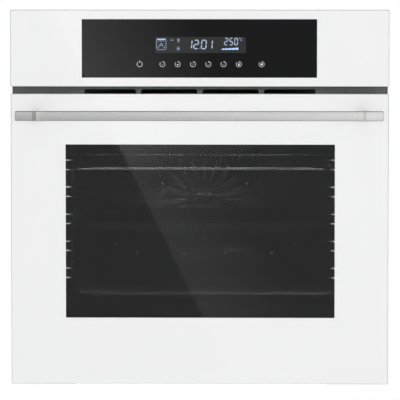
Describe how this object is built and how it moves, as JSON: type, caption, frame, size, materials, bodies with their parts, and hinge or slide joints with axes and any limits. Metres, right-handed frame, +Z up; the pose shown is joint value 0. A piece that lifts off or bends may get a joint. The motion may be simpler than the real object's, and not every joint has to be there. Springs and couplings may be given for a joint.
{
  "type": "built-in wall oven",
  "caption": "Built-in electric oven with a white glass door and control fascia, a full-width flat bar handle, a dark door window, a touch display and a drop-down door.",
  "frame": {"origin": "under the middle of the bounding box, on the plane that the base plate rests on", "axes": "+Z up, the door faces -Y, +X to the right of someone facing the oven"},
  "size_m": [0.595, 0.615, 0.595],
  "materials": {
    "white_glass": "gloss white, enamelled on the back of the glass",
    "clear_glass": "clear, lightly smoked",
    "brushed_steel": "brushed along its length",
    "galvanised_steel": "galvanised sheet, spangled",
    "painted_steel": "dark satin coating",
    "enamel": "vitreous enamel, fine speckle",
    "chrome_wire": "bright chrome plate",
    "heater": "oxidised steel sheath",
    "silicone": "matt",
    "mineral_wool": "loose mineral fibre",
    "grey_plastic": "moulded",
    "black_plastic": "moulded",
    "circuit_board": "solder mask",
    "ceramic": "unglazed",
    "motor_steel": "laminated and pressed steel"
  },
  "bodies": {
    "chassis": {"base_plate": "galvanised_steel", "left_side_panel": "galvanised_steel", "right_side_panel": "galvanised_steel", "top_cover": "galvanised_steel", "rear_cover": "galvanised_steel", "front_frame": "painted_steel", "cavity": "enamel", "insulation": "mineral_wool", "heat_shield": "galvanised_steel", "door_gasket": "silicone", "vent_trim": "painted_steel", "fascia_glass": "white_glass", "fascia_carrier": "grey_plastic", "touch_board": "circuit_board", "display_module": "black_plastic", "control_housing": "grey_plastic", "control_board": "circuit_board", "left_side_rack": "chrome_wire", "right_side_rack": "chrome_wire", "fan_baffle": "enamel", "convection_motor": "motor_steel", "ring_element": "heater", "grill_element": "heater", "bottom_element": "heater", "lamp_glass": "clear_glass", "lamp_holder": "ceramic", "lamp_bulb": "clear_glass", "temperature_probe": "chrome_wire", "air_duct": "galvanised_steel", "blower_housing": "galvanised_steel", "blower_motor": "motor_steel", "thermal_cutout": "black_plastic", "terminal_block": "black_plastic", "cable_gland": "black_plastic", "left_hinge_arm": "galvanised_steel", "right_hinge_arm": "galvanised_steel", "left_hinge_receiver": "galvanised_steel", "right_hinge_receiver": "galvanised_steel"},
    "door": {"door_outer_glass": "white_glass", "door_middle_glass_front": "clear_glass", "door_middle_glass_rear": "clear_glass", "door_inner_glass": "clear_glass", "left_door_stile": "brushed_steel", "right_door_stile": "brushed_steel", "door_top_rail": "brushed_steel", "door_bottom_rail": "brushed_steel", "left_hinge_body": "galvanised_steel", "right_hinge_body": "galvanised_steel", "left_hinge_spring": "chrome_wire", "right_hinge_spring": "chrome_wire", "left_handle_post": "brushed_steel", "right_handle_post": "brushed_steel", "handle_bar": "brushed_steel"},
    "wire_shelf": {"wire_shelf": "chrome_wire"},
    "baking_tray": {"baking_tray": "enamel"},
    "convection_fan": {"convection_fan": "motor_steel"},
    "blower_wheel": {"blower_wheel": "galvanised_steel"}
  },
  "joints": [
    {"name": "door_hinge", "type": "hinge", "parent": "chassis", "child": "door", "pos_m": [0, -0.2505, 0.024], "axis": [1, 0, 0], "range_deg": [0, 90]},
    {"name": "wire_shelf_slide", "type": "slide", "parent": "chassis", "child": "wire_shelf", "axis": [0, -1, 0], "range_m": [0, 0.3]},
    {"name": "baking_tray_slide", "type": "slide", "parent": "chassis", "child": "baking_tray", "axis": [0, -1, 0], "range_m": [0, 0.22]},
    {"name": "convection_fan_spin", "type": "hinge", "parent": "chassis", "child": "convection_fan", "pos_m": [0, 0.1895, 0.269], "axis": [0, -1, 0], "continuous": true},
    {"name": "blower_wheel_spin", "type": "hinge", "parent": "chassis", "child": "blower_wheel", "pos_m": [0, 0.0815, 0.464], "axis": [0, 0, 1], "continuous": true}
  ],
  "couplings": [
    {"joint": "wire_shelf_slide", "follows": "door_hinge", "m_per_rad": 0.19},
    {"joint": "baking_tray_slide", "follows": "door_hinge", "m_per_rad": 0.14}
  ]
}
